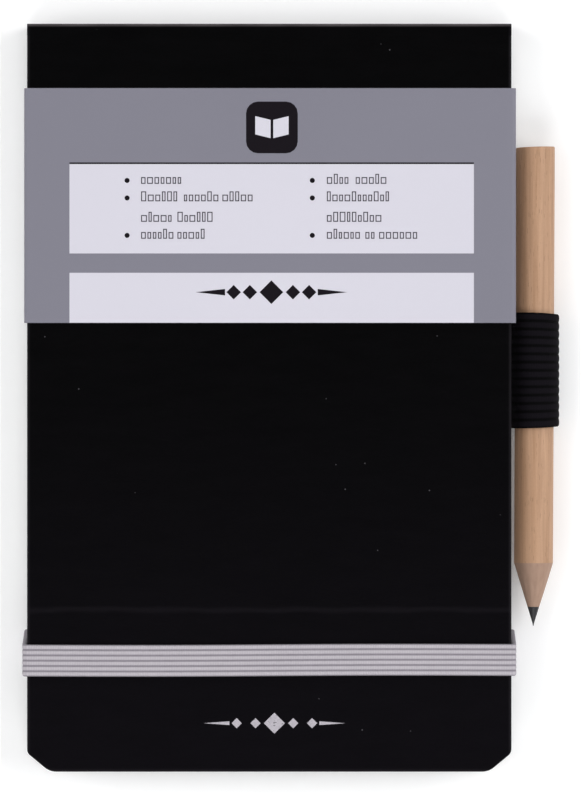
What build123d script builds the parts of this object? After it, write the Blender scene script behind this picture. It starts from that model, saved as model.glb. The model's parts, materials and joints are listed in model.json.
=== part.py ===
from build123d import *
import math
import os

# Pocket notebook that opens at its head, held shut by an elastic strap, with a pencil in an
# elastic loop and a card sleeve round the front cover. Millimetres.
# The book lies on its back: the origin is the centre of the back cover's outer face, +X goes to
# the pencil, +Y to the spine and +Z out of the front cover.

# Case: two boards and a spine board inside one covering cloth
COVER_WIDTH = 90.0
COVER_LENGTH = 139.0
CORNER_CUT_X = 4.2        # the free end's corners are cut across and rounded
CORNER_CUT_Y = 3.5
CORNER_RADIUS = 3.6
BOARD = 1.4
CLOTH = 0.25
TURN_IN = 12.0            # cloth folded over onto the inner face of each board
SPINE_GAP = 0.65          # between the boards' ends and the spine board

# Paper
ENDPAPER = 0.12
SECTION = 0.76            # ten leaves
SECTIONS = 10
PAGE_INSET = 1.4
PASTEDOWN_INSET = 1.6
MULL = 0.12               # open cloth that ties the pages to the case
SPINE_MULL = 0.25         # the same cloth, soaked with glue where it is on the spine
MULL_FLANGE = 12.0
ADHESIVE = 0.3
SHUT_GAP = 0.5            # air between the shut front cover and the first leaf

# Thread through the folds of the sections
THREAD_DIAMETER = 0.28
THREAD_STATIONS = 6
THREAD_PITCH = 14.0

# Elastic strap
STRAP_WIDTH = 5.9
STRAP = 0.9
STRAP_CENTRE_Y = -48.75   # across the front
STRAP_LEAN = 2.4          # how far nearer the spine its ends are at the back board
TAB_LENGTH = 12.0         # glued in the back board

# Pencil and its loop
PENCIL_DIAMETER = 7.3
LEAD_DIAMETER = 2.2
PENCIL_LENGTH = 89.4
PENCIL_TIP_Y = -42.6
POINT_LENGTH = 11.8
POINT_BLUNT = 0.15
PENCIL_X = 49.5           # of its axis, at the middle of the loop
PENCIL_Z = 5.2
PENCIL_LEAN = 0.26        # degrees, its head away from the book
PENCIL_END_ROUND = 0.3
LOOP_WIDTH = 21.6
LOOP_CENTRE_Y = 5.1
LOOP_X = 49.55
LOOP_BORE = 7.8
LOOP_WALL = 0.7
LOOP_TAIL = 1.0           # both ends pressed together in the back board
LOOP_TAIL_BASE = 0.65

# Card sleeve round the front cover
SLEEVE_LENGTH = 43.6
SLEEVE_CENTRE_Y = 35.7
SLEEVE_CARD = 0.25
SLEEVE_LEFT = -45.55
SLEEVE_RIGHT = 45.85
SLEEVE_PLAY = 0.05

# Foil ornament pressed into the front cover
FOIL = 0.05
FOIL_RECESS = 0.06
FOIL_X = 0.95
FOIL_Y = -60.45
FOIL_LENGTH = 26.3
FOIL_LOZENGE = 3.9
FOIL_SMALL_LOZENGE = 1.9
FOIL_LOZENGE_PITCH = 3.5
FOIL_RULE = 0.7

# Worked out
HALF_WIDTH = COVER_WIDTH / 2
HALF_LENGTH = COVER_LENGTH / 2
BOARD_TOP = CLOTH + BOARD
TURN_IN_TOP = BOARD_TOP + CLOTH
COVER = TURN_IN_TOP + ENDPAPER
BLOCK_BASE = COVER + ENDPAPER
BLOCK_TOP = BLOCK_BASE + SECTIONS * SECTION
THICKNESS = BLOCK_TOP + ENDPAPER + SHUT_GAP + COVER
SPINE_BOARD_INNER = HALF_LENGTH - CLOTH - BOARD
BOARD_END = SPINE_BOARD_INNER - SPINE_GAP
ADHESIVE_END = SPINE_BOARD_INNER - SPINE_MULL
BLOCK_END = ADHESIVE_END - ADHESIVE
TURN_IN_SIDE = HALF_WIDTH - TURN_IN
TURN_IN_FREE_END = -HALF_LENGTH + TURN_IN
STRAP_BACK_Y = STRAP_CENTRE_Y + STRAP_LEAN
STRAP_TAB_BASE = BOARD_TOP - STRAP


def block(x0, x1, y0, y1, z0, z1):
    """Box between two values along each axis."""
    return Pos(x0, y0, z0) * Box(x1 - x0, y1 - y0, z1 - z0, align=(Align.MIN,) * 3)


def outline(inset, spine_end):
    """The cover seen from above, drawn in by inset and ended at y = spine_end."""
    diagonal = math.hypot(CORNER_CUT_X, CORNER_CUT_Y)
    side = HALF_WIDTH - inset
    free_end = -HALF_LENGTH + inset
    cut_top = -HALF_LENGTH + CORNER_CUT_Y + inset * (diagonal - CORNER_CUT_Y) / CORNER_CUT_X
    cut_side = HALF_WIDTH - CORNER_CUT_X - inset * (diagonal - CORNER_CUT_X) / CORNER_CUT_Y
    face = Polygon(
        (-side, spine_end), (-side, cut_top), (-cut_side, free_end),
        (cut_side, free_end), (side, cut_top), (side, spine_end), align=None)
    corners = face.vertices().filter_by(lambda corner: corner.Y < cut_top + 0.01)
    return fillet(corners, CORNER_RADIUS)


def sheet(inset, spine_end, z0, z1):
    """A flat layer with the cover's outline between two heights."""
    return Pos(0, 0, z0) * extrude(outline(inset, spine_end), z1 - z0)


def inside_turn_ins(inset, z0, z1):
    """The space that the turned-in cloth leaves on a board's inner face."""
    side = TURN_IN_SIDE - inset
    return block(-side, side, TURN_IN_FREE_END + inset, BOARD_END, z0, z1)


def to_front(shape):
    """The same layer on the front cover, which mirrors the back one."""
    return Pos(0, 0, THICKNESS) * mirror(shape, Plane.XY)


def loop_tail():
    """Room in the back board for the loop's glued ends."""
    return block(
        TURN_IN_SIDE, HALF_WIDTH, LOOP_CENTRE_Y - LOOP_WIDTH / 2, LOOP_CENTRE_Y + LOOP_WIDTH / 2,
        LOOP_TAIL_BASE, BOARD_TOP)


def strap_tabs(reach):
    """The strap's two glued ends, from inside the back board out to x = reach."""
    low = STRAP_BACK_Y - STRAP_WIDTH / 2
    high = STRAP_BACK_Y + STRAP_WIDTH / 2
    right = block(HALF_WIDTH - TAB_LENGTH, reach, low, high, STRAP_TAB_BASE, BOARD_TOP)
    return right + mirror(right, Plane.YZ)


def cover_board():
    return sheet(CLOTH, BOARD_END, CLOTH, BOARD_TOP)


def cover_cloth():
    """Cloth round one board: its outer face, its three edges and the turned-in margins."""
    outer_face = sheet(0, HALF_LENGTH, 0, CLOTH)
    rim = sheet(0, BOARD_END, 0, TURN_IN_TOP) - sheet(CLOTH, BOARD_END, 0, TURN_IN_TOP)
    turn_in = sheet(0, BOARD_END, BOARD_TOP, TURN_IN_TOP) - inside_turn_ins(0, BOARD_TOP, TURN_IN_TOP)
    return outer_face + rim + turn_in


def pastedown():
    """Endpaper glued to the board, which dips between the turned-in margins."""
    floor = BOARD_TOP + MULL
    margin = sheet(PASTEDOWN_INSET, BOARD_END, TURN_IN_TOP, COVER) - inside_turn_ins(
        ENDPAPER, TURN_IN_TOP, COVER)
    step = inside_turn_ins(0, floor, COVER) - inside_turn_ins(ENDPAPER, floor, COVER)
    return margin + step + inside_turn_ins(0, floor, floor + ENDPAPER)


def spine_cloth():
    """The same cloth over the spine board's outer face and its two ends."""
    top = THICKNESS - CLOTH
    outer = block(-HALF_WIDTH, HALF_WIDTH, HALF_LENGTH - CLOTH, HALF_LENGTH, 0, top)
    right_end = block(HALF_WIDTH - CLOTH, HALF_WIDTH, SPINE_BOARD_INNER, HALF_LENGTH, 0, top)
    right_gap = block(HALF_WIDTH - CLOTH, HALF_WIDTH, BOARD_END, HALF_LENGTH, 0, TURN_IN_TOP)
    right = right_end + right_gap
    return outer + right + mirror(right, Plane.YZ)


def spine_board():
    side = HALF_WIDTH - CLOTH
    return block(-side, side, SPINE_BOARD_INNER, HALF_LENGTH - CLOTH, CLOTH, THICKNESS - CLOTH)


def spine_mull():
    """Cloth glued over the backs of the sections, with a flange under the back pastedown."""
    side = TURN_IN_SIDE - ENDPAPER
    wall = block(-side, side, ADHESIVE_END, SPINE_BOARD_INNER, BOARD_TOP, BLOCK_TOP + ENDPAPER)
    flange = block(
        -side, side, BOARD_END - MULL_FLANGE, SPINE_BOARD_INNER, BOARD_TOP, BOARD_TOP + MULL)
    return wall + flange


def sewing_thread():
    """The thread where it comes out of the folds and links section to section."""
    strands = []
    for station in range(THREAD_STATIONS):
        x = (station - (THREAD_STATIONS - 1) / 2) * THREAD_PITCH
        place = Pos(x, BLOCK_END + THREAD_DIAMETER / 2, BLOCK_BASE)
        strands.append(place * Cylinder(
            THREAD_DIAMETER / 2, BLOCK_TOP - BLOCK_BASE, align=(Align.CENTER, Align.CENTER, Align.MIN)))
    return Compound(children=strands)


def spine_adhesive(thread):
    side = HALF_WIDTH - PAGE_INSET
    layer = block(-side, side, BLOCK_END, ADHESIVE_END, COVER, BLOCK_TOP + ENDPAPER)
    for strand in thread.solids():
        layer -= strand
    return layer


def section_base(number):
    """Height of the underside of a section, section 1 being next to the front cover."""
    return BLOCK_TOP - number * SECTION


def elastic_strap():
    """The free part of the strap: across the front cover and down both sides."""
    side = HALF_WIDTH + STRAP
    half = STRAP_WIDTH / 2
    front = block(
        -side, side, STRAP_CENTRE_Y - half, STRAP_CENTRE_Y + half, THICKNESS, THICKNESS + STRAP)
    run = Polygon(
        (STRAP_CENTRE_Y - half, THICKNESS), (STRAP_BACK_Y - half, BOARD_TOP),
        (STRAP_BACK_Y + half, BOARD_TOP), (STRAP_CENTRE_Y + half, THICKNESS), align=None)
    right = Pos(HALF_WIDTH, 0, 0) * extrude(Plane.YZ * run, STRAP)
    return front + right + mirror(right, Plane.YZ)


def pencil_loop():
    """Elastic webbing round the pencil, its two ends pressed together and glued in the board."""
    bore = LOOP_BORE / 2
    ring = Pos(LOOP_X, PENCIL_Z) * Circle(bore + LOOP_WALL)
    tail = Pos(TURN_IN_SIDE, LOOP_TAIL_BASE) * Rectangle(
        LOOP_X - TURN_IN_SIDE, LOOP_TAIL, align=(Align.MIN, Align.MIN))
    profile = ring + tail - Pos(LOOP_X, PENCIL_Z) * Circle(bore)
    return Pos(0, LOOP_CENTRE_Y, 0) * extrude(Plane.XZ * profile, LOOP_WIDTH / 2, both=True)


def pencil_axis():
    """Where the pencil lies: its own +Z becomes the direction from the point to the head."""
    lean = math.tan(math.radians(PENCIL_LEAN))
    tip = (PENCIL_X - (LOOP_CENTRE_Y - PENCIL_TIP_Y) * lean, PENCIL_TIP_Y, PENCIL_Z)
    return Plane(origin=tip, x_dir=(1, -lean, 0), z_dir=(lean, 1, 0))


def turned(profile_points):
    """A solid of revolution about Z from points given as radius and height."""
    return revolve(Plane.XZ * Polygon(*profile_points, align=None), Axis.Z)


def pencil_lead():
    radius = LEAD_DIAMETER / 2
    cone_start = POINT_LENGTH * radius / (PENCIL_DIAMETER / 2)
    return turned([
        (0, 0), (POINT_BLUNT, POINT_LENGTH * POINT_BLUNT / (PENCIL_DIAMETER / 2)),
        (radius, cone_start), (radius, PENCIL_LENGTH), (0, PENCIL_LENGTH)])


def pencil_slat(upper):
    """One of the two cedar halves that are glued together round the lead."""
    radius = PENCIL_DIAMETER / 2
    bore = LEAD_DIAMETER / 2
    cone_start = POINT_LENGTH * bore / radius
    wood = turned([
        (bore, cone_start), (radius, POINT_LENGTH), (radius, PENCIL_LENGTH - PENCIL_END_ROUND),
        (radius - PENCIL_END_ROUND, PENCIL_LENGTH), (bore, PENCIL_LENGTH)])
    side = -1 if upper else 1
    half = Pos(0, side * radius, PENCIL_LENGTH / 2) * Box(
        PENCIL_DIAMETER * 2, PENCIL_DIAMETER, PENCIL_LENGTH * 2)
    return wood & half


def paper_sleeve():
    """Card wrapped round the front cover, open towards the spine and the free end."""
    y0 = SLEEVE_CENTRE_Y - SLEEVE_LENGTH / 2
    y1 = SLEEVE_CENTRE_Y + SLEEVE_LENGTH / 2
    low = THICKNESS - COVER - SLEEVE_PLAY
    high = THICKNESS + SLEEVE_PLAY
    outer = block(SLEEVE_LEFT, SLEEVE_RIGHT, y0, y1, low - SLEEVE_CARD, high + SLEEVE_CARD)
    return outer - block(
        SLEEVE_LEFT + SLEEVE_CARD, SLEEVE_RIGHT - SLEEVE_CARD, y0, y1, low, high)


def lozenge(x, height):
    half = height / 2
    return Polygon(
        (x - half, 0), (x, -half), (x + half, 0), (x, half), align=None)


def ornament(depth):
    """Five lozenges between two tapering rules, as deep as asked below the cover's face."""
    marks = [lozenge(0, FOIL_LOZENGE)]
    for side in (-1, 1):
        for place in (1, 2):
            marks.append(lozenge(side * place * FOIL_LOZENGE_PITCH, FOIL_SMALL_LOZENGE))
        rule_start = side * (2 * FOIL_LOZENGE_PITCH + FOIL_SMALL_LOZENGE / 2 + 0.4)
        rule_end = side * FOIL_LENGTH / 2
        marks.append(Polygon(
            (rule_start, -FOIL_RULE / 2), (rule_start, FOIL_RULE / 2), (rule_end, 0), align=None))
    top = THICKNESS - (FOIL_RECESS - FOIL)
    return [Pos(FOIL_X, FOIL_Y, top - depth) * extrude(mark, depth, dir=(0, 0, 1)) for mark in marks]


def write(name, shape):
    export_step(shape, f"parts/{name}.step")


os.makedirs("parts", exist_ok=True)

# Case, back half and spine
tail_room = loop_tail()
tab_room = strap_tabs(HALF_WIDTH)
write("back_board", cover_board() - tail_room - tab_room)
write("back_and_spine_cloth", cover_cloth() + spine_cloth() - tail_room - tab_room)
write("spine_board", spine_board())
write("back_pastedown", pastedown())
write("spine_mull", spine_mull())

# Case, front half
write("front_board", to_front(cover_board()))
write("front_pastedown", to_front(pastedown()))
front_cloth = to_front(cover_cloth())
for mark in ornament(FOIL):
    front_cloth -= Pos(0, 0, FOIL_RECESS - FOIL) * mark + mark
write("front_cover_cloth", front_cloth)
write("cover_foil", Compound(children=ornament(FOIL)))

# Leaves
write("back_flyleaf", sheet(PAGE_INSET, BLOCK_END, COVER, BLOCK_BASE))
write("front_flyleaf", sheet(PAGE_INSET, BLOCK_END, BLOCK_TOP, BLOCK_TOP + ENDPAPER))
for number in range(1, SECTIONS + 1):
    base = section_base(number)
    write(f"section_{number:02d}", sheet(PAGE_INSET, BLOCK_END, base, base + SECTION))
thread = sewing_thread()
write("sewing_thread", thread)
write("spine_adhesive", spine_adhesive(thread))

# Elastic
write("elastic_strap", elastic_strap())
write("strap_ends", strap_tabs(HALF_WIDTH + STRAP))
write("pencil_loop", pencil_loop())

# Pencil
along = pencil_axis()
write("pencil_lead", along.location * pencil_lead())
write("pencil_upper_slat", along.location * pencil_slat(True))
write("pencil_lower_slat", along.location * pencil_slat(False))

# Sleeve
write("paper_sleeve", paper_sleeve())
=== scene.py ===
import json
import math
import random

import bmesh
import bpy
from mathutils import Matrix, Vector


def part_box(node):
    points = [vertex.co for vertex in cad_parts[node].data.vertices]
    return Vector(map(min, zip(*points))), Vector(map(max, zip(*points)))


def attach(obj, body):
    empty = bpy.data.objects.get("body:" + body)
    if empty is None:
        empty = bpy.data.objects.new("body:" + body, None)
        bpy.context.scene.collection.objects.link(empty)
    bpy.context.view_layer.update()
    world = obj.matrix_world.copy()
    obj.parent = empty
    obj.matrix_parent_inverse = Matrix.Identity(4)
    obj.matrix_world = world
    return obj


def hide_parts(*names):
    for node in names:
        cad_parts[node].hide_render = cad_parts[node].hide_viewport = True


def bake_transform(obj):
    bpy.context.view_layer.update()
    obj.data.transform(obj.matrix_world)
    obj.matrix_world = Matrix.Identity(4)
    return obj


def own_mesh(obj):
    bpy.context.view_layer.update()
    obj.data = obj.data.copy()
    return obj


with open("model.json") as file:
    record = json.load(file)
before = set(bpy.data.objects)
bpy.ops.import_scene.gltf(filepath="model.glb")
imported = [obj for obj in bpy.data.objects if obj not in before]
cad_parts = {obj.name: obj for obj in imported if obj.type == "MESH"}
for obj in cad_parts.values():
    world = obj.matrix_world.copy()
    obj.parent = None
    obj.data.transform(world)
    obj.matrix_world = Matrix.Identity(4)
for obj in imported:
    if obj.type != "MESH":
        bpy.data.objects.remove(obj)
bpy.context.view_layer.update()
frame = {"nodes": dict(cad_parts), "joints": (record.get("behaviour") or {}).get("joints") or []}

# A pocket notebook on its back. Lengths are in millimetres here and become metres as each mesh
# is made. +X goes to the pencil, +Y to the spine and +Z out of the front cover.
MM = 0.001


def span(node):
    """Lowest and highest corner of a CAD node at rest, in millimetres."""
    low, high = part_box(node)
    return low / MM, high / MM


def joint(name):
    return next(each for each in frame["joints"] if each["name"] == name)


# ---- sizes, from the frame
CASE_HIGH = span("back_and_spine_cloth")[1]
HALF_WIDTH = CASE_HIGH.x
HALF_LENGTH = CASE_HIGH.y
THICKNESS = span("front_cover_cloth")[1].z
CLOTH = span("back_board")[0].z
BOARD_TOP = span("back_board")[1].z
BOARD_END = span("back_board")[1].y
TURN_IN_FACE = BOARD_TOP + CLOTH
COVER = span("back_pastedown")[1].z
SPINE_INNER = span("spine_board")[0].y

BLOCK_SIDE = span("section_01")[1].x
BLOCK_FREE_END = span("section_01")[0].y
BLOCK_END = span("section_01")[1].y
PAGE_LENGTH = BLOCK_END - BLOCK_FREE_END
PAGE_INSET = HALF_WIDTH - BLOCK_SIDE

SLAT_LOW, SLAT_HIGH = span("pencil_upper_slat")
PENCIL_RADIUS = SLAT_HIGH.z - SLAT_LOW.z
POINT_LENGTH = 11.8       # sharpened part, lead and wood
POINT_START = span("pencil_lead")[0].y + POINT_LENGTH

SLEEVE_LOW, SLEEVE_HIGH = span("paper_sleeve")


# ---- node maths
def operator(operation):
    """A method that adds the Math node for one of Python's operators."""
    return lambda signal, other: signal.math(operation, other)


class Signal:
    """A node's socket, on which Python's operators add Math nodes."""

    def __init__(self, graph, socket):
        self.graph = graph
        self.socket = socket

    def math(self, operation, *others):
        made = self.graph.tree.nodes.new("ShaderNodeMath")
        made.operation = operation
        for place, value in zip(made.inputs, (self, *others)):
            self.graph.fill(place, value)
        return Signal(self.graph, made.outputs[0])

    def __rsub__(self, other):
        return (self * -1.0) + other

    def __rtruediv__(self, other):
        return (self ** -1.0) * other

    def __abs__(self):
        return self.math("ABSOLUTE")

    __add__ = __radd__ = operator("ADD")
    __sub__ = operator("SUBTRACT")
    __mul__ = __rmul__ = operator("MULTIPLY")
    __truediv__ = operator("DIVIDE")
    __pow__ = operator("POWER")
    __lt__ = operator("LESS_THAN")
    __gt__ = operator("GREATER_THAN")


class Graph:
    """A node tree being made."""

    def __init__(self, tree):
        self.tree = tree

    def fill(self, place, value):
        if isinstance(value, Signal):
            self.tree.links.new(value.socket, place)
        elif isinstance(value, (tuple, list)) and place.type == "RGBA":
            place.default_value = (*value[:3], 1.0)
        else:
            place.default_value = value

    def node(self, kind, settings=None, sockets=None, output=0):
        """Any node: its settings first, then its sockets from values or other signals."""
        made = self.tree.nodes.new(kind)
        for name, value in (settings or {}).items():
            if name == "stops":
                self.set_stops(made.color_ramp, value)
            else:
                setattr(made, name, value)
        for name, value in (sockets or {}).items():
            self.fill(made.inputs[name], value)
        return Signal(self, made.outputs[output])

    @staticmethod
    def set_stops(ramp, stops):
        while len(ramp.elements) < len(stops):
            ramp.elements.new(1.0)
        for element, (place, shade) in zip(ramp.elements, stops):
            element.position = place
            element.color = (shade, shade, shade, 1.0)

    def axes(self, vector):
        made = self.tree.nodes.new("ShaderNodeSeparateXYZ")
        self.fill(made.inputs[0], vector)
        return [Signal(self, each) for each in made.outputs]


class Paint(Graph):
    """A material's nodes, and the shader at their end."""

    def __init__(self, name):
        self.material = bpy.data.materials.new(name)
        self.material.use_nodes = True
        super().__init__(self.material.node_tree)
        self.tree.nodes.clear()

    def place(self):
        """Where a point is on the object, in metres."""
        return self.node("ShaderNodeTexCoord", output="Object")

    def flat(self, layer):
        """The piece's own map, by its name."""
        return self.node("ShaderNodeUVMap", {"uv_map": layer})

    def stretched(self, vector, scale):
        return self.node("ShaderNodeMapping", None, {"Vector": vector, "Scale": scale})

    def noise(self, vector, scale, detail=2.0, rough=0.5, twist=0.0):
        return self.node("ShaderNodeTexNoise", None, {
            "Vector": vector, "Scale": scale, "Detail": detail, "Roughness": rough,
            "Distortion": twist})

    def cells(self, vector, scale):
        """Distance from the middle of each of many small cells."""
        return self.node(
            "ShaderNodeTexVoronoi", None, {"Vector": vector, "Scale": scale}, output="Distance")

    def ramp(self, value, stops):
        return self.node("ShaderNodeValToRGB", {"stops": stops}, {"Fac": value})

    def between(self, value, low, high):
        """0 below low, 1 above high and smooth in between."""
        return self.node("ShaderNodeMapRange", {"interpolation_type": "SMOOTHSTEP"}, {
            "Value": value, "From Min": low, "From Max": high})

    def mix(self, share, first, second):
        made = self.tree.nodes.new("ShaderNodeMix")
        made.data_type = "RGBA"
        self.fill(made.inputs[0], share)
        self.fill(made.inputs[6], first)
        self.fill(made.inputs[7], second)
        return Signal(self, made.outputs[2])

    def bump(self, height, depth):
        """Height in the range 0 to 1, as deep as asked in millimetres."""
        return self.node("ShaderNodeBump", None, {
            "Height": height, "Distance": depth * MM, "Strength": 1.0})

    def finish(self, **sockets):
        """Principled shader from keyword names such as base_color or coat_weight."""
        shader = self.tree.nodes.new("ShaderNodeBsdfPrincipled")
        names = {each.name.lower().replace(" ", "_"): each for each in shader.inputs}
        for name, value in sockets.items():
            self.fill(names[name], value)
        end = self.tree.nodes.new("ShaderNodeOutputMaterial")
        self.tree.links.new(shader.outputs[0], end.inputs[0])
        return self.material


class Maker(Graph):
    """A Geometry Nodes tree with named inputs, whose result gets one material."""

    def __init__(self, name, inputs):
        super().__init__(bpy.data.node_groups.new(name, "GeometryNodeTree"))
        for label, kind in inputs.items():
            self.tree.interface.new_socket(label, in_out="INPUT", socket_type=kind)
        self.tree.interface.new_socket(
            "Made", in_out="OUTPUT", socket_type="NodeSocketGeometry")
        self.given = self.tree.nodes.new("NodeGroupInput")

    def given_input(self, label):
        return Signal(self, self.given.outputs[label])

    def vector(self, x=0.0, y=0.0, z=0.0):
        return self.node("ShaderNodeCombineXYZ", None, {"X": x, "Y": y, "Z": z})

    def vectors(self, operation, *values):
        return self.node(
            "ShaderNodeVectorMath", {"operation": operation}, dict(enumerate(values)))

    def scaled(self, vector, scale):
        return self.node(
            "ShaderNodeVectorMath", {"operation": "SCALE"}, {"Vector": vector, "Scale": scale})

    def named(self, name, kind="FLOAT"):
        return self.node("GeometryNodeInputNamedAttribute", {"data_type": kind}, {"Name": name})

    def store(self, geometry, name, value, kind="FLOAT", domain="POINT"):
        return self.node(
            "GeometryNodeStoreNamedAttribute", {"data_type": kind, "domain": domain},
            {"Geometry": geometry, "Name": name, "Value": value})

    def finish(self, geometry, material):
        solid = self.node("GeometryNodeRealizeInstances", None, {"Geometry": geometry})
        painted = self.node(
            "GeometryNodeSetMaterial", None, {"Geometry": solid, "Material": material})
        end = self.tree.nodes.new("NodeGroupOutput")
        self.tree.links.new(painted.socket, end.inputs[0])
        return self.tree


def through_nodes(piece, tree, values):
    """The piece's mesh after a tree with these inputs, as a plain mesh with no modifier."""
    modifier = piece.modifiers.new(tree.name, "NODES")
    modifier.node_group = tree
    sockets = {
        item.name: item.identifier for item in tree.interface.items_tree
        if item.in_out == "INPUT"}
    for name, value in values.items():
        modifier[sockets[name]] = value
    piece.update_tag()
    graph = bpy.context.evaluated_depsgraph_get()
    graph.update()
    made = bpy.data.meshes.new_from_object(piece.evaluated_get(graph))
    piece.modifiers.remove(modifier)
    piece.data = made
    piece.data.name = piece.name
    return piece


# ---- colours
# Linear red, green and blue
CLOTH_DEEP = (0.0006, 0.0006, 0.0007)
CLOTH_PAINTED_LIGHT = (0.0042, 0.0034, 0.0052)
CLOTH_PIT = (0.0002, 0.0002, 0.0003)
CLOTH_WEAR_AND_HIGHLIGHT = (0.022, 0.019, 0.024)
CLOTH_SPINE_HIGHLIGHT = (0.125, 0.112, 0.115)
LINT = (0.20, 0.19, 0.21)
PULP_DARK = (0.20, 0.185, 0.165)
PULP_LIGHT = (0.34, 0.32, 0.29)
PULP_FLECK = (0.10, 0.09, 0.08)
PAGE_WHITE = (0.80, 0.80, 0.79)
ENDPAPER_WHITE = (0.76, 0.755, 0.74)
RULE_BLUE = (0.42, 0.50, 0.62)
COTTON = (0.62, 0.59, 0.52)
LINEN = (0.72, 0.70, 0.64)
GLUE_DARK = (0.66, 0.63, 0.52)
GLUE_LIGHT = (0.80, 0.78, 0.70)
STRAP_LIGHT = (0.500, 0.468, 0.506)
STRAP_GROOVE_SHADE = (0.225, 0.208, 0.235)
LOOP_LIGHT = (0.0060, 0.0048, 0.0072)
LOOP_GROOVE_SHADE = (0.0008, 0.0007, 0.0010)
WOOD_LIGHT = (0.57, 0.350, 0.220)
WOOD_DARK = (0.375, 0.211, 0.120)
WOOD_WARM = (0.41, 0.225, 0.120)
WOOD_PORE = (0.17, 0.092, 0.050)
WOOD_CUT_LIGHT = (0.425, 0.282, 0.210)
WOOD_CUT_DARK = (0.29, 0.181, 0.128)
GRAPHITE_DARK = (0.012, 0.012, 0.014)
GRAPHITE_LIGHT = (0.045, 0.044, 0.048)
SLEEVE_GREY = (0.194, 0.190, 0.232)
PANEL_WHITE = (0.605, 0.590, 0.660)
INK_DARK = (0.008, 0.006, 0.009)
INK_TEXT = (0.055, 0.048, 0.062)
FOIL_DARK = (0.36, 0.335, 0.37)
FOIL_LIGHT = (0.62, 0.585, 0.64)
FOIL_FLAKED = (0.05, 0.05, 0.055)


# ---- finishes
# In a finish, a noise's or a cell's scale is in waves or cells to a metre.
ALONG_X = (0.3, 1.0, 1.0)  # stretches a pattern across the cover
EDGE_HIGHLIGHT_REACH = 0.7              # how far in from the cover's edges a painted highlight reaches
SPINE_HIGHLIGHT_REACH = 0.7           # and how far from the top of the spine
CREASE_Y = -39.4          # mark pressed into the front by the strap
CREASE_HALF = 0.9
CREASE_WANDER = 1.2
PAINTED_DARKEST_Y = 25.0          # where the painted light gradient is darkest
PAINTED_LIGHTEST_Y = -80.0          # and where it is painted lightest
LINT_SIZE = 0.03

UV_LENGTH = 100.0         # millimetres in one unit of a page's map
RULE_PITCH = 7.0
RULE_WIDTH = 0.16
RULE_MARGIN = 6.0
RULE_HEADING = 16.0

KNIT_PITCH = 0.45
MAP_UNIT = 10.0           # millimetres in one unit of a band's map
STRAP_RIBS = 6
LOOP_RIBS = 14


def shaded(colour, share):
    return tuple(channel * share for channel in colour)


def leatherette():
    """Near-black grained covering cloth with a little lint, painted light towards its free end, and
    painted highlights along its edges and the top of the spine, broken up by wear noise.
    """
    paint = Paint("leatherette")
    place = paint.place()
    x, y, z = paint.axes(place)
    grain = paint.cells(paint.stretched(place, (0.45, 1.0, 1.0)), 2600.0)
    fine = paint.noise(paint.stretched(place, ALONG_X), 4200.0, 3.0)
    broad = paint.noise(place, 90.0, 3.0)
    worn = paint.noise(paint.stretched(place, ALONG_X), 420.0, 4.0)
    off_crease = abs(y + (worn - 0.5) * (CREASE_WANDER * MM) - (CREASE_Y * MM))
    creased = 1.0 - paint.between(off_crease, 0.0, CREASE_HALF * MM)
    crease = creased * (z > (THICKNESS / 2 * MM))
    # painted highlight along the cover's sides and ends, broken up by the wear noise
    rim_x = paint.between(abs(x), (HALF_WIDTH - EDGE_HIGHLIGHT_REACH) * MM, HALF_WIDTH * MM)
    rim_y = paint.between(abs(y), (HALF_LENGTH - EDGE_HIGHLIGHT_REACH) * MM, HALF_LENGTH * MM)
    rim_highlight = rim_x.math("MAXIMUM", rim_y) * (worn * 0.7 + 0.3)
    lint_patch = paint.noise(place, 60.0, 0.0) > 0.56
    speck = (paint.cells(place, 230.0) < LINT_SIZE) * lint_patch
    # painted highlight along the spine's top edge, broken up by the wear noise
    top_edge = paint.between(y, (HALF_LENGTH - SPINE_HIGHLIGHT_REACH) * MM, (HALF_LENGTH - 0.1) * MM)
    spine_highlight = top_edge * (z > ((THICKNESS - 1.0) * MM)) * (worn * 0.9 + 0.1)
    # painted light: the cloth is painted lighter towards the free end and darkest towards the spine
    shade = paint.mix(
        paint.between(y, PAINTED_LIGHTEST_Y * MM, PAINTED_DARKEST_Y * MM), CLOTH_PAINTED_LIGHT, CLOTH_DEEP)
    shade = paint.mix(fine * 0.5 + broad * 0.3, shade, CLOTH_PIT)
    # wear noise and the strap's crease, and the painted edge highlight
    shade = paint.mix(worn * 0.05 + crease * 0.14 + rim_highlight * 0.6, shade, CLOTH_WEAR_AND_HIGHLIGHT)
    # painted highlight on the spine's top edge
    shade = paint.mix(spine_highlight, shade, CLOTH_SPINE_HIGHLIGHT)
    shade = paint.mix(speck * 0.3, shade, LINT)
    height = grain * 0.5 + fine * 0.35 + crease * 0.25 + broad * 0.2
    return paint.finish(
        base_color=shade, roughness=broad * 0.14 + grain * 0.1 + 0.34,
        specular_ior_level=0.03, normal=paint.bump(height, 0.05))


def paper(name, colour, ruled=False):
    """Uncoated paper with fibres, and feint ruled lines where it is a page."""
    paint = Paint(name)
    place = paint.place()
    fibre = paint.noise(place, 1500.0, 4.0, 0.7)
    cloud = paint.noise(place, 70.0, 2.0)
    shade = paint.mix(fibre * 0.5 + cloud * 0.4, colour, shaded(colour, 0.93))
    if ruled:
        along = paint.axes(paint.flat("page"))[1]
        row = (along * UV_LENGTH / RULE_PITCH).math("FRACT")
        line = abs(row - 0.5) < (RULE_WIDTH / RULE_PITCH / 2)
        ruled_part = (along * UV_LENGTH > RULE_MARGIN) * (
            along * UV_LENGTH < PAGE_LENGTH - RULE_HEADING)
        shade = paint.mix(line * ruled_part * 0.55, shade, RULE_BLUE)
    return paint.finish(
        base_color=shade, roughness=fibre * 0.15 + 0.78, specular_ior_level=0.3,
        normal=paint.bump(fibre, 0.012))


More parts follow.
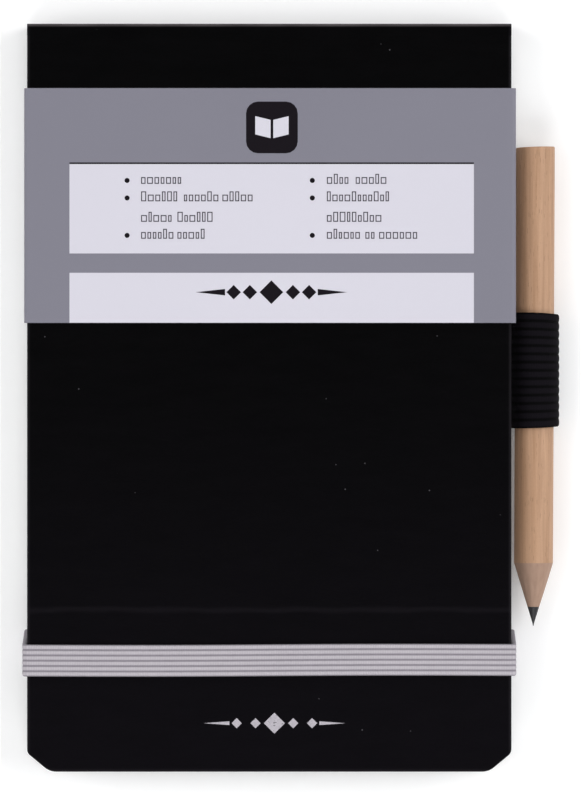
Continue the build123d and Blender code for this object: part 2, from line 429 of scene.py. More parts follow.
def pressed_board():
    """Grey pulp board with flecks."""
    paint = Paint("pressed_greyboard")
    place = paint.place()
    pulp = paint.noise(place, 900.0, 5.0, 0.7)
    fleck = paint.cells(place, 1300.0) < 0.16
    shade = paint.mix(pulp, PULP_DARK, PULP_LIGHT)
    shade = paint.mix(fleck * 0.4, shade, PULP_FLECK)
    return paint.finish(
        base_color=shade, roughness=pulp * 0.1 + 0.82, normal=paint.bump(pulp, 0.04))


def woven(name, colour, pitch):
    """Plain weave of threads, for the mull and the sewing thread."""
    paint = Paint(name)
    x, y, z = paint.axes(paint.place())
    rate = 2 * math.pi / (pitch * MM)
    weft = (x * rate).math("SINE")
    warp = ((y + z) * rate).math("SINE")
    thread = (weft * warp) * 0.5 + 0.5
    return paint.finish(
        base_color=paint.mix(thread, shaded(colour, 0.6), colour),
        roughness=thread * 0.1 + 0.8, normal=paint.bump(thread, 0.05))


def dried_glue():
    """Brushed white glue, lumpy and a little shiny."""
    paint = Paint("dried_white_glue")
    lumps = paint.noise(paint.place(), 700.0, 3.0)
    return paint.finish(
        base_color=paint.mix(lumps, GLUE_DARK, GLUE_LIGHT), roughness=lumps * 0.2 + 0.3,
        normal=paint.bump(lumps, 0.05))


def ribbed_elastic(name, light, groove_shade, ribs, sheen):
    """Knitted elastic: cords along it with the knit's cross threads over them, and painted shade in
    the grooves between the cords.
    """
    paint = Paint(name)
    run, across, unused = paint.axes(paint.flat("band"))
    rib = abs((across * (math.pi * ribs)).math("SINE"))
    knit_rate = 2 * math.pi / KNIT_PITCH
    knit = (run * (MAP_UNIT * knit_rate)).math("SINE") * 0.5 + 0.5
    fuzz = paint.noise(paint.place(), 2600.0, 3.0, 0.65)
    tone = paint.noise(paint.place(), 120.0, 2.0)
    # painted shade in the grooves between the ribs
    shade = paint.mix(paint.between(rib, 0.25, 0.85), groove_shade, light)
    shade = paint.mix(knit * 0.18 + tone * 0.12 + fuzz * 0.14, shade, groove_shade)
    return paint.finish(
        base_color=shade, roughness=fuzz * 0.15 + 0.75, specular_ior_level=0.06,
        sheen_weight=sheen, sheen_roughness=0.5,
        normal=paint.bump(knit * 0.5 + fuzz * 0.4, 0.05))


def pencil_wood():
    """Bare wood along the pencil, rougher and paler where it is sharpened."""
    paint = Paint("bare_pencil_wood")
    place = paint.place()
    y = paint.axes(place)[1]
    grain = paint.noise(paint.stretched(place, (1.0, 0.035, 1.0)), 1300.0, 5.0, 0.62, 0.4)
    bands = paint.noise(paint.stretched(place, (1.0, 0.012, 1.0)), 300.0, 2.0)
    pores = paint.cells(paint.stretched(place, (1.0, 0.09, 1.0)), 3400.0) < 0.17
    tooth = paint.noise(place, 3000.0, 3.0, 0.7)
    streak = paint.noise(paint.stretched(place, (1.0, 0.12, 1.0)), 1500.0, 3.0)
    cut = 1.0 - paint.between(y, (POINT_START - 0.05) * MM, (POINT_START + 0.05) * MM)
    barrel = paint.mix(paint.ramp(grain, ((0.3, 0.0), (0.72, 1.0))), WOOD_DARK, WOOD_LIGHT)
    barrel = paint.mix(bands * 0.3, barrel, WOOD_WARM)
    barrel = paint.mix(pores * 0.4 + tooth * 0.25, barrel, WOOD_PORE)
    cone = paint.mix(streak, WOOD_CUT_DARK, WOOD_CUT_LIGHT)
    height = grain * 0.4 + tooth * 0.3 + streak * 0.3 * cut
    return paint.finish(
        base_color=paint.mix(cut, barrel, cone), roughness=cut * 0.18 + grain * 0.12 + 0.45,
        specular_ior_level=0.35, normal=paint.bump(height, 0.03))


def graphite():
    """Fired graphite with fine drag marks across it."""
    paint = Paint("graphite")
    drag = paint.noise(paint.stretched(paint.place(), (1.0, 0.2, 1.0)), 2400.0, 3.0)
    return paint.finish(
        base_color=paint.mix(drag, GRAPHITE_DARK, GRAPHITE_LIGHT), metallic=drag * 0.3 + 0.2,
        roughness=drag * 0.2 + 0.35, normal=paint.bump(drag, 0.02))


def printed_card(name, colour, fleck, shine):
    """Smooth printed card with a faint tooth."""
    paint = Paint(name)
    place = paint.place()
    tooth = paint.noise(place, 1800.0, 3.0, 0.6)
    cloud = paint.noise(place, 45.0, 3.0)
    shade = paint.mix(tooth * 0.35 + cloud * 0.65, shaded(colour, fleck), colour)
    return paint.finish(
        base_color=shade, roughness=tooth * 0.12 + 0.5, specular_ior_level=shine,
        normal=paint.bump(tooth, 0.008))


def silver_foil():
    """Pressed metal foil, a little broken up by the grain under it."""
    paint = Paint("pressed_silver_foil")
    place = paint.place()
    grain = paint.cells(paint.stretched(place, (0.6, 1.0, 1.0)), 2600.0)
    wear = paint.noise(place, 1400.0, 4.0, 0.7)
    shade = paint.mix(wear, FOIL_DARK, FOIL_LIGHT)
    shade = paint.mix(paint.between(wear, 0.60, 0.68) * 0.8, shade, FOIL_FLAKED)
    return paint.finish(
        base_color=shade, metallic=0.6, roughness=wear * 0.2 + 0.42,
        normal=paint.bump(grain, 0.03))


BLACK = leatherette()
BOARD = pressed_board()
ENDPAPER_STOCK = paper("white_endpaper", ENDPAPER_WHITE)
PAGE_STOCK = paper("ruled_page", PAGE_WHITE, ruled=True)
MULL = woven("cotton_mull", COTTON, 0.5)
THREAD = woven("linen_thread", LINEN, 0.3)
GLUE = dried_glue()
STRAP_ELASTIC = ribbed_elastic("grey_elastic", STRAP_LIGHT, STRAP_GROOVE_SHADE, STRAP_RIBS, 0.15)
LOOP_ELASTIC = ribbed_elastic("black_elastic", LOOP_LIGHT, LOOP_GROOVE_SHADE, LOOP_RIBS, 0.0)
WOOD = pencil_wood()
GRAPHITE = graphite()
SLEEVE_CARD = printed_card("sleeve_card", SLEEVE_GREY, 0.93, 0.3)
PANEL_PRINT = printed_card("white_print", PANEL_WHITE, 0.96, 0.3)
DARK_PRINT = printed_card("dark_print", INK_DARK, 0.8, 0.06)
TEXT_PRINT = printed_card("grey_print", INK_TEXT, 0.8, 0.06)
FOIL = silver_foil()


# ---- mesh making
SMOOTH_UNDER = 40.0       # degrees; a sharper edge stays sharp


def rounded(points, radii, steps):
    """A path whose corners become arcs of the given radii, as a list of points."""
    path = [points[0]]
    for before, corner, after, radius in zip(points, points[1:], points[2:], radii):
        arriving = (corner - before).normalized()
        leaving = (after - corner).normalized()
        turn = arriving.angle(leaving)
        half = math.tan(turn / 2)
        room = 0.49 * min((corner - before).length, (after - corner).length)
        reach = min(radius * half, room)
        to_centre = reach / half / math.cos(turn / 2)
        centre = corner + (leaving - arriving).normalized() * to_centre
        first = corner - arriving * reach - centre
        last = corner + leaving * reach - centre
        for step in range(steps + 1):
            share = step / steps
            spoke = first * math.sin((1 - share) * turn) + last * math.sin(share * turn)
            path.append(centre + spoke / math.sin(turn))
    path.append(points[-1])
    return path


def arc(centre, radius, start, stop, steps):
    """Points on a circle, from one angle in degrees to another."""
    angles = [math.radians(start + (stop - start) * step / steps) for step in range(steps + 1)]
    return [centre + Vector((math.cos(angle), math.sin(angle))) * radius for angle in angles]


def sides(path, left, right):
    """Two lines along a path, one on its right and one on its left, as pairs of points."""
    pairs = []
    for index, point in enumerate(path):
        before = path[max(index - 1, 0)]
        after = path[min(index + 1, len(path) - 1)]
        along = (after - before).normalized()
        across = Vector((-along.y, along.x))
        pairs.append((point - across * right, point + across * left))
    return pairs


def smoothed(piece, under=SMOOTH_UNDER):
    """Faces turned outwards, and edges kept sharp only above an angle."""
    built = bmesh.new()
    built.from_mesh(piece.data)
    bmesh.ops.remove_doubles(built, verts=built.verts, dist=1e-8)
    bmesh.ops.recalc_face_normals(built, faces=built.faces)
    built.to_mesh(piece.data)
    built.free()
    piece.data.shade_smooth()
    piece.data.set_sharp_from_angle(angle=math.radians(under))
    return piece


def linked(name, mesh, material=None):
    """A new object for a mesh, in the scene."""
    if material:
        mesh.materials.append(material)
    piece = bpy.data.objects.new(name, mesh)
    bpy.context.scene.collection.objects.link(piece)
    return piece


def from_bmesh(name, built, material, smooth_under=SMOOTH_UNDER):
    mesh = bpy.data.meshes.new(name)
    built.to_mesh(mesh)
    built.free()
    return smoothed(linked(name, mesh, material), smooth_under)


def make_piece(name, points, faces, material, maps=None, smooth_under=SMOOTH_UNDER):
    """A mesh object from points in millimetres, its faces turned outwards.
    maps is a layer's name and, for each point, its two coordinates."""
    built = bmesh.new()
    layer = built.loops.layers.uv.new(maps[0]) if maps else None
    corners = [built.verts.new(Vector(point) * MM) for point in points]
    for face in faces:
        made = built.faces.new([corners[index] for index in face])
        if layer:
            for loop, index in zip(made.loops, face):
                loop[layer].uv = maps[1][index]
    return from_bmesh(name, built, material, smooth_under)


def tube_faces(rings, size, closed=False):
    """Faces of a skin over rings of points, capped at both ends or closed into a loop."""
    faces = []
    for ring in range(rings if closed else rings - 1):
        onward = (ring + 1) % rings
        for place in range(size):
            after = (place + 1) % size
            faces.append((
                ring * size + place, ring * size + after,
                onward * size + after, onward * size + place))
    if not closed:
        faces.append(tuple(range(size)))
        faces.append(tuple((rings - 1) * size + place for place in range(size)))
    return faces


def bent_sheet(name, path, thickness, low_x, high_x, material):
    """A sheet that follows a path of (y, z), as wide as from low_x to high_x.
    Its thickness lies on the left of the path."""
    points = []
    for outer, inner in sides(path, thickness, 0.0):
        points += [(low_x, *outer), (high_x, *outer), (high_x, *inner), (low_x, *inner)]
    return make_piece(name, points, tube_faces(len(path), 4), material)


def plate(name, low, high, bevel, material):
    """A small box with rounded edges."""
    built = bmesh.new()
    bmesh.ops.create_cube(built, size=1.0)
    middle = (Vector(low) + Vector(high)) / 2
    for corner in built.verts:
        corner.co = Vector(
            middle[axis] + corner.co[axis] * (high[axis] - low[axis]) for axis in range(3)) * MM
    bmesh.ops.bevel(
        built, geom=list(built.edges), offset=bevel * MM, segments=3, profile=0.5, affect="EDGES")
    return from_bmesh(name, built, material)


def joined(name, parts):
    """Several closed pieces as one object."""
    with bpy.context.temp_override(
            active_object=parts[0], selected_editable_objects=parts, object=parts[0]):
        bpy.ops.object.join()
    parts[0].name = name
    parts[0].data.name = name
    return parts[0]


def settle(piece, body, slot, *nodes):
    """The piece rides on a body and stands for CAD nodes, which are hidden. slot is not used."""
    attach(piece, body)
    if nodes:
        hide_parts(*nodes)
    return piece


# ---- case
CORNER_CUT_X = 4.2        # the free end's corners are cut across and rounded
CORNER_CUT_Y = 3.5
CORNER_RADIUS = 3.6
CORNER_SHARPER = 0.4      # the cut's upper end is rounded less
CORNER_STEPS = 8
TURN_IN = 12.0            # cloth folded over onto the inner face of each board
EDGE_ROUND = 0.7          # cloth drawn over the board's outer edge
INNER_EDGE_ROUND = 0.35
EDGE_SUPPORT = 1.2        # flat rim inside the rounded edge
EDGE_STEPS = 6
CASE_SPLIT = BOARD_END + 0.1
SPINE_ROUND = 0.5
HINGE_STEPS = 14
SPINE_END_LAP = 0.35      # cloth at each end of the spine, past the spine board's inner face
SPINE_END_INSET = 0.06
SPINE_END_BEVEL = 0.1

FOLD_ROOT = 0.12          # where the endpaper's fold starts, in front of the spine board
FOLD_REACH = 0.08         # and where it comes down, past the front board's end
FOLD_UNDER_CLOTH = 0.1
FOLD_LAP = 2.5            # glued on the front board
FOLD_PAPER = 0.06
FOLD_GAP = 0.02
FOLD_SUNK = 0.04
ARCH_STEPS = 24


def outline(inset, spine_end):
    """The cover's edge from the spine's left, round the free end, to the spine's right."""
    side = HALF_WIDTH - inset
    free_end = -HALF_LENGTH + inset
    diagonal = math.hypot(CORNER_CUT_X, CORNER_CUT_Y)
    cut_side = HALF_WIDTH - CORNER_CUT_X - inset * (diagonal - CORNER_CUT_X) / CORNER_CUT_Y
    cut_top = -HALF_LENGTH + CORNER_CUT_Y + inset * (diagonal - CORNER_CUT_Y) / CORNER_CUT_X
    if cut_side < side - 0.1:
        radius = max(CORNER_RADIUS - inset * 0.5, 0.2)
        right = rounded(
            [Vector((0, free_end)), Vector((cut_side, free_end)), Vector((side, cut_top)),
             Vector((side, spine_end))], (radius, radius * CORNER_SHARPER), CORNER_STEPS)[1:]
    else:
        right = [Vector((side, free_end))] * (2 * CORNER_STEPS + 2) + [Vector((side, spine_end))]
    left = [Vector((-point.x, point.y)) for point in reversed(right)]
    return left + right


def wrapped_cover(name, outward, spine_end):
    """Cloth round one board: outer face, rounded edges and turned-in margins, as one skin.
    outward is -1 on the back cover and 1 on the front one."""
    outer = rounded(
        [Vector((EDGE_SUPPORT, 0)), Vector((0, 0)), Vector((0, TURN_IN_FACE)),
         Vector((TURN_IN, TURN_IN_FACE))], (EDGE_ROUND, INNER_EDGE_ROUND), EDGE_STEPS)
    inner = rounded(
        [Vector((TURN_IN, BOARD_TOP)), Vector((CLOTH, BOARD_TOP)), Vector((CLOTH, CLOTH)),
         Vector((EDGE_SUPPORT, CLOTH))], (INNER_EDGE_ROUND / 2, EDGE_ROUND / 2), EDGE_STEPS)
    levels = outer + inner
    points, size = [], 0
    for inset, depth in levels:
        edge = outline(inset, spine_end)
        size = len(edge)
        height = THICKNESS - depth if outward > 0 else depth
        points += [(point.x, point.y, height) for point in edge]
    faces = []
    for level in range(len(levels) - 1):
        for place in range(size - 1):
            first = level * size + place
            faces.append((first, first + 1, first + size + 1, first + size))
    last = (len(levels) - 1) * size
    faces.append(tuple(range(size)))
    faces.append(tuple(last + place for place in range(size)))
    left = [level * size for level in range(len(levels))]
    right = [level * size + size - 1 for level in reversed(range(len(levels)))]
    faces.append(tuple(left + right))
    return make_piece(name, points, faces, BLACK)


def build_case():
    """Cloth of the back cover, of the front cover, and of the spine and hinge between them."""
    parts = [wrapped_cover("back_cloth", -1, CASE_SPLIT)]
    for side in (-1, 1):
        outer = side * HALF_WIDTH
        inner = side * (HALF_WIDTH - CLOTH)
        parts.append(plate(
            "spine_end_cloth",
            (min(outer, inner), SPINE_INNER - SPINE_END_LAP, CLOTH * 0.6),
            (max(outer, inner), HALF_LENGTH - SPINE_END_INSET, THICKNESS - CLOTH * 0.9),
            SPINE_END_BEVEL, BLACK))
    case = joined("back_leatherette", parts)
    settle(case, "back_cover", "covering_cloth", "back_and_spine_cloth")

    front = wrapped_cover("front_leatherette", 1, CASE_SPLIT)
    settle(front, "front_cover", "covering_cloth", "front_cover_cloth")

    path = rounded(
        [Vector((CASE_SPLIT, 0)), Vector((HALF_LENGTH, 0)), Vector((HALF_LENGTH, THICKNESS)),
         Vector((CASE_SPLIT, THICKNESS))], (SPINE_ROUND, SPINE_ROUND), HINGE_STEPS)
    spine = bent_sheet(
        "spine_and_hinge_leatherette", path, CLOTH, -HALF_WIDTH, HALF_WIDTH, BLACK)
    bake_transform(spine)


def build_endpaper_hinge():
    """The fold of the front endpaper, from the backs of the leaves to the pastedown."""
    root_y = SPINE_INNER - FOLD_ROOT
    cover_y = BOARD_END + FOLD_REACH
    top = THICKNESS - CLOTH - FOLD_UNDER_CLOTH
    low = span("front_flyleaf")[1].z - FOLD_SUNK
    glued = THICKNESS - COVER - FOLD_GAP
    arch = [
        Vector((root_y + (cover_y - root_y) * (step / ARCH_STEPS), top))
        for step in range(ARCH_STEPS + 1)]
    path = [
        Vector((root_y, low)), Vector((root_y, (low + top) / 2)), *arch,
        Vector((cover_y, glued)), Vector((BOARD_END - FOLD_LAP, glued))]
    fold = bent_sheet(
        "front_endpaper_fold", path, FOLD_PAPER, -BLOCK_SIDE, BLOCK_SIDE, ENDPAPER_STOCK)
    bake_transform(fold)


# ---- leaves
SECTIONS = 10
LEAVES_IN_SECTION = 10
TURNING_SECTIONS = 4
LEAF_FILL = 0.87          # of a leaf's share of the section's thickness
LEAF_SLACK = 0.11         # how unevenly the leaves lie
BEND_FIRST = 26.0         # how far from the spine a leaf's rows lie close together
BEND_STEP = 2.0
BEND_ROWS = 36
STRAIGHT_ROWS = 5


def leaf_rows(bend):
    """(half width, y) down a leaf: close together near the spine, and round its cut corners."""
    rows = [
        (BLOCK_SIDE, BLOCK_END - bend * step / BEND_ROWS) for step in range(BEND_ROWS + 1)]
    corner = outline(PAGE_INSET, BLOCK_END)
    right = [point for point in reversed(corner[len(corner) // 2:]) if point.y < 0]
    straight = rows[-1][1]
    rows += [
        (BLOCK_SIDE, straight + (right[0].y - straight) * step / STRAIGHT_ROWS)
        for step in range(1, STRAIGHT_ROWS)]
    rows += [(point.x, point.y) for point in right]
    return rows


def one_leaf(name, bend, thickness, material):
    """A leaf lying at z = 0, with its two faces mapped in page lengths."""
    points, maps = [], []
    rows = leaf_rows(bend)
    for half, y in rows:
        ring = [(-half, y, 0), (half, y, 0), (half, y, thickness), (-half, y, thickness)]
        points += ring
        maps += [(point[0] / UV_LENGTH, (y - BLOCK_FREE_END) / UV_LENGTH) for point in ring]
    return make_piece(name, points, tube_faces(len(rows), 4), material, ("page", maps))


def lift(piece, height):
    for corner in piece.data.vertices:
        corner.co.z += height * MM


def turning_leaf(piece):
    """The piece's place is baked into its mesh; it stays flat and rides on no body."""
    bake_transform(piece)


def leaf_stack_tree():
    """Copies of one leaf laid on each other, not quite square."""
    maker = Maker("leaf_stack", {
        "Leaf": "NodeSocketGeometry", "Leaves": "NodeSocketInt", "Pitch": "NodeSocketFloat",
        "Slack": "NodeSocketFloat", "Seed": "NodeSocketInt", "Paper": "NodeSocketMaterial"})
    slack = maker.given_input("Slack")
    places = maker.node("GeometryNodeMeshLine", None, {
        "Count": maker.given_input("Leaves"),
        "Offset": maker.vector(z=maker.given_input("Pitch"))})
    laid = maker.node("GeometryNodeInstanceOnPoints", None, {
        "Points": places, "Instance": maker.given_input("Leaf")})
    uneven = maker.node("FunctionNodeRandomValue", {"data_type": "FLOAT_VECTOR"}, {
        0: maker.vector(slack * -1.0, slack * -1.0), 1: maker.vector(slack, slack),
        "Seed": maker.given_input("Seed")})
    stack = maker.node("GeometryNodeTranslateInstances", None, {
        "Instances": laid, "Translation": uneven})
    return maker.finish(stack, maker.given_input("Paper"))


def build_leaves():
    """Ten sections of ten leaves; the last six ride on the back cover, the first four on no body.
    """
    tree = leaf_stack_tree()
    for number in range(1, SECTIONS + 1):
        node = f"section_{number:02d}"
        low, high = span(node)
        share = (high.z - low.z) / LEAVES_IN_SECTION
        bend = BEND_FIRST + BEND_STEP * min(number, TURNING_SECTIONS)
        stack = one_leaf(f"{node}_leaves", bend, share * LEAF_FILL, PAGE_STOCK)
        through_nodes(stack, tree, {
            "Leaves": LEAVES_IN_SECTION, "Pitch": share * MM, "Slack": LEAF_SLACK * MM,
            "Seed": number, "Paper": PAGE_STOCK})
        lift(stack, low.z)
        if number <= TURNING_SECTIONS:
            turning_leaf(stack)
        else:
            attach(stack, "back_cover")
        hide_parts(node)

    low, high = span("front_flyleaf")
    flyleaf = one_leaf("front_flyleaf_leaf", BEND_FIRST, high.z - low.z, ENDPAPER_STOCK)
    lift(flyleaf, low.z)
    turning_leaf(flyleaf)
    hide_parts("front_flyleaf")


# ---- elastic
SELVEDGE = 0.55           # thickness of a band's two edges against its middle
RIB_ROUNDNESS = 0.7       # lower is flatter on top, with narrower grooves
SMOOTH_RIB = 60.0


def ribbed_elastic_tree():
    """A path swept with a flat profile that has rounded ribs along both faces.
    The path's points carry their half thickness, their place along Y and their run."""
    maker = Maker("ribbed_elastic", {
        "Path": "NodeSocketGeometry", "Width": "NodeSocketFloat", "Ribs": "NodeSocketFloat",
        "Steps": "NodeSocketInt", "Rib depth": "NodeSocketFloat",
        "Selvedge": "NodeSocketFloat", "Elastic": "NodeSocketMaterial"})
    steps = maker.given_input("Steps")

    place = maker.node("GeometryNodeInputIndex")
    back = place > (steps + 0.5)
    share = (place * (1 - back) + (steps * 2.0 + 1.0 - place) * back) / steps
    swell = abs((share * maker.given_input("Ribs") * math.pi).math("SINE")) ** RIB_ROUNDNESS
    side = abs(share - 0.5) > (0.5 - 0.5 / steps)
    edge = 1 - side * (1 - maker.given_input("Selvedge"))
    raised = (1 - back * 2.0) * edge * (1 - maker.given_input("Rib depth") * (1 - swell))
    profile = maker.node("GeometryNodeCurvePrimitiveCircle", {"mode": "RADIUS"}, {
        "Resolution": steps * 2.0 + 2.0, "Radius": MM})
    profile = maker.store(profile, "share", share)
    profile = maker.store(profile, "lift", raised)

    path = maker.node("GeometryNodeMeshToCurve", None, {"Mesh": maker.given_input("Path")})
    outward = maker.vectors(
        "CROSS_PRODUCT", maker.vector(y=1.0), maker.node("GeometryNodeInputTangent"))
    path = maker.store(path, "outward", outward, "FLOAT_VECTOR")
    path = maker.store(path, "centre", maker.node("GeometryNodeInputPosition"), "FLOAT_VECTOR")
    band = maker.node("GeometryNodeCurveToMesh", None, {
        "Curve": path, "Profile Curve": profile, "Fill Caps": True})

    face = maker.scaled(
        maker.named("outward", "FLOAT_VECTOR"), maker.named("lift") * maker.named("half"))
    across = (maker.named("share") - 0.5) * maker.given_input("Width") + maker.named("shift")
    spot = maker.vectors(
        "ADD", maker.vectors("ADD", maker.named("centre", "FLOAT_VECTOR"), face),
        maker.vector(y=across))
    band = maker.node("GeometryNodeSetPosition", None, {"Geometry": band, "Position": spot})
    chart = maker.vector(maker.named("run"), maker.named("share"))
    band = maker.store(band, "band", chart, "FLOAT2", "CORNER")
    return maker.finish(band, maker.given_input("Elastic"))


RIBBED_ELASTIC = ribbed_elastic_tree()


def ribbed_band(name, path, thicknesses, width, shifts, ribs, across_steps, depth, material):
    """Elastic that follows a path of (x, z), its width along y and its ribs along the path.
    shifts is how far along y each point of the path lies."""
    mesh = bpy.data.meshes.new(name)
    mesh.from_pydata(
        [Vector((point.x, 0, point.y)) * MM for point in path],
        [(index, index + 1) for index in range(len(path) - 1)], [])
    runs = [0.0]
    for before, after in zip(path, path[1:]):
        runs.append(runs[-1] + (after - before).length)
    carried = {
        "half": [thickness / 2 * MM for thickness in thicknesses],
        "shift": [shift * MM for shift in shifts],
        "run": [run / MAP_UNIT for run in runs]}
    for label, values in carried.items():
        mesh.attributes.new(label, "FLOAT", "POINT").data.foreach_set("value", values)
    band = linked(name, mesh)
    through_nodes(band, RIBBED_ELASTIC, {
        "Width": width * MM, "Ribs": float(ribs), "Steps": ribs * across_steps,
        "Rib depth": depth, "Selvedge": SELVEDGE, "Elastic": material})
    for label in (*carried, "share", "lift", "outward", "centre"):
        if label in band.data.attributes:
            band.data.attributes.remove(band.data.attributes[label])
    return smoothed(band, SMOOTH_RIB)


STRAP_CORNER = 1.1
STRAP_CORNER_STEPS = 8
STRAP_SIDE_END = 1.0      # under the front's face, where the side's straight run ends
STRAP_FRONT_START = 1.6   # in from the side, where the front's straight run starts
STRAP_SIDE_STEPS = 12
STRAP_FRONT_STEPS = 60
STRAP_OFF_SIDE = 0.03     # how far the strap stands off the covers' sides
STRAP_WAVE = 0.07
STRAP_WAVE_LENGTH = 13.0
STRAP_TILT = 0.08
STRAP_RIB_STEPS = 8
STRAP_RIB_DEPTH = 0.30
TAB_SHARE = 0.74          # where the glued ends stop, against the CAD node's
TAB_THINNER = 0.98
TAB_CORNER = 0.45


def build_strap():
    """The closing strap, across the front and down both sides to where its ends are glued."""
    low, high = span("elastic_strap")
    ends_low, ends_high = span("strap_ends")
    thickness = high.x - HALF_WIDTH
    width = ends_high.y - ends_low.y
    front_y = low.y + width / 2
    back_y = (ends_low.y + ends_high.y) / 2
    side = HALF_WIDTH + thickness / 2 + STRAP_OFF_SIDE
    top = THICKNESS + thickness / 2
    side_end = THICKNESS - STRAP_SIDE_END
    side_run = [
        Vector((side, BOARD_TOP + (side_end - BOARD_TOP) * step / STRAP_SIDE_STEPS))
        for step in range(STRAP_SIDE_STEPS)]
    corner = rounded(
        [Vector((side, side_end)), Vector((side, top)), Vector((side - STRAP_FRONT_START, top))],
        (STRAP_CORNER,), STRAP_CORNER_STEPS)
    half_front = [
        Vector(((side - STRAP_FRONT_START) * (1 - step / STRAP_FRONT_STEPS), top))
        for step in range(1, STRAP_FRONT_STEPS)]
    right = side_run + corner + half_front
    path = right + [Vector((0, top))] + [Vector((-point.x, point.y)) for point in reversed(right)]

    def shift(point):
        """How far along y the strap lies: straight down each side it leans to the spine."""
        fallen = max(THICKNESS - point.y, 0.0) / (THICKNESS - BOARD_TOP)
        wave = STRAP_WAVE * math.sin(point.x / STRAP_WAVE_LENGTH)
        wave += STRAP_TILT * point.x / HALF_WIDTH
        return front_y + (back_y - front_y) * fallen + wave * (1 - fallen)

    strap = ribbed_band(
        "ribbed_closing_strap", path, [thickness] * len(path), width,
        [shift(point) for point in path], STRAP_RIBS, STRAP_RIB_STEPS, STRAP_RIB_DEPTH,
        STRAP_ELASTIC)
    settle(strap, "elastic_strap", "strap_elastic", "elastic_strap")
    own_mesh(strap)

    tabs = []
    tab_z = ends_low.z + thickness / 2
    for right_or_left in (1, -1):
        tab_path = rounded(
            [Vector((right_or_left * -ends_low.x * TAB_SHARE, tab_z)),
             Vector((right_or_left * side, tab_z)),
             Vector((right_or_left * side, BOARD_TOP))], (TAB_CORNER,), 6)
        tabs.append(ribbed_band(
            "strap_tab", tab_path, [thickness * TAB_THINNER] * len(tab_path), width,
            [back_y] * len(tab_path), STRAP_RIBS, STRAP_RIB_STEPS, STRAP_RIB_DEPTH,
            STRAP_ELASTIC))
    settle(joined("strap_glued_ends", tabs), "back_cover", "strap_elastic", "strap_ends")


LOOP_WALL = 0.7
LOOP_TAIL = 1.0           # both ends of the webbing, pressed together
LOOP_TAIL_THINNER = 0.98
LOOP_TAIL_START = 0.3     # from the glued ends' cut edge
LOOP_RING = (-90, 190, 56)  # first and last angle of its round part, and its steps
LOOP_OPENING = 1.6        # over how far the pressed ends part, from this far off the cover
LOOP_PRESSED = 0.2
LOOP_RIB_STEPS = 6
LOOP_RIB_DEPTH = 0.38
LOOP_DROOP = 0.035        # how much narrower the webbing is at its far side


def build_loop():
    """Webbing round the pencil, both of its ends pressed together and glued in the board."""
    low, high = span("pencil_loop")
    outer = (high.z - low.z) / 2
    centre = Vector((high.x - outer, low.z + outer))
    width = high.y - low.y
    lower_z = BOARD_TOP - LOOP_TAIL * 0.75
    upper_z = BOARD_TOP - LOOP_TAIL * 0.25
    tail_x = low.x + LOOP_TAIL_START
    inward = [
        Vector((tail_x, lower_z)), Vector((HALF_WIDTH - 2, lower_z)),
        Vector((HALF_WIDTH + 1.0, lower_z + 0.01)),
        Vector((centre.x - 1.4, low.z + LOOP_WALL / 2 + 0.02))]
    ring = arc(centre, outer - LOOP_WALL / 2, *LOOP_RING)
    outward = rounded(
        [ring[-1], Vector((HALF_WIDTH + 0.85, upper_z)), Vector((tail_x, upper_z))],
        (0.55,), 8)[1:]
    path = inward + ring + outward
    thicknesses = []
    for point in path:
        parted = min(max((point.x - HALF_WIDTH - LOOP_PRESSED) / LOOP_OPENING, 0.0), 1.0)
        parted = 1.0 if point.y > upper_z + 1.2 else parted
        thicknesses.append(
            LOOP_TAIL / 2 * LOOP_TAIL_THINNER * (1 - parted) + LOOP_WALL * parted)
    middle_y = (low.y + high.y) / 2
    loop = ribbed_band(
        "ribbed_pencil_loop", path, thicknesses, width, [middle_y] * len(path), LOOP_RIBS,
        LOOP_RIB_STEPS, LOOP_RIB_DEPTH, LOOP_ELASTIC)
    for corner in loop.data.vertices:
        reach = (corner.co.x / MM - HALF_WIDTH) / (high.x - HALF_WIDTH)
        if reach > 0:
            offset = corner.co.y - middle_y * MM
            corner.co.y = middle_y * MM + offset * (1 - LOOP_DROOP * reach ** 3)
    settle(loop, "back_cover", "loop_elastic", "pencil_loop")


# ---- pencil
HEAD_TILT = 0.035         # the head isn't cut quite square
HEAD_TILT_POWER = 40      # and only its end leans
KNIFE_MARK = 0.03
KNIFE_FACETS = 11
SLAT_ARC_STEPS = 40
CONE_STEPS = 24
LEAD_STEPS = 32
LEAD_CONE_STEPS = 8
LEAD_CONE_START = 0.5
HEAD_ROUND = ((0.5, 0.0), (0.28, 0.0), (0.1, 0.06), (0.02, 0.2), (0.0, 0.4))
LEAD_TIP = ((0.0, 0.025), (0.05, 0.065), (0.2, 0.105))
PENCIL_SMOOTH_UNDER = 30.0


def along_pencil():
    """The pencil's own frame: its point, its direction towards the head, and its side."""
    direction = Vector(joint("pencil_slide")["axis"]).normalized()
    lead_low, lead_high = span("pencil_lead")
    height = (lead_low.z + lead_high.z) / 2
    lead_radius = (lead_high.z - lead_low.z) / 2
    head_x = lead_high.x - lead_radius * direction.y
    length = (lead_high.y - lead_low.y) / direction.y
    tip = Vector((head_x, lead_high.y, height)) - direction * length
    return tip, direction, direction.cross(Vector((0, 0, 1))), length, lead_radius


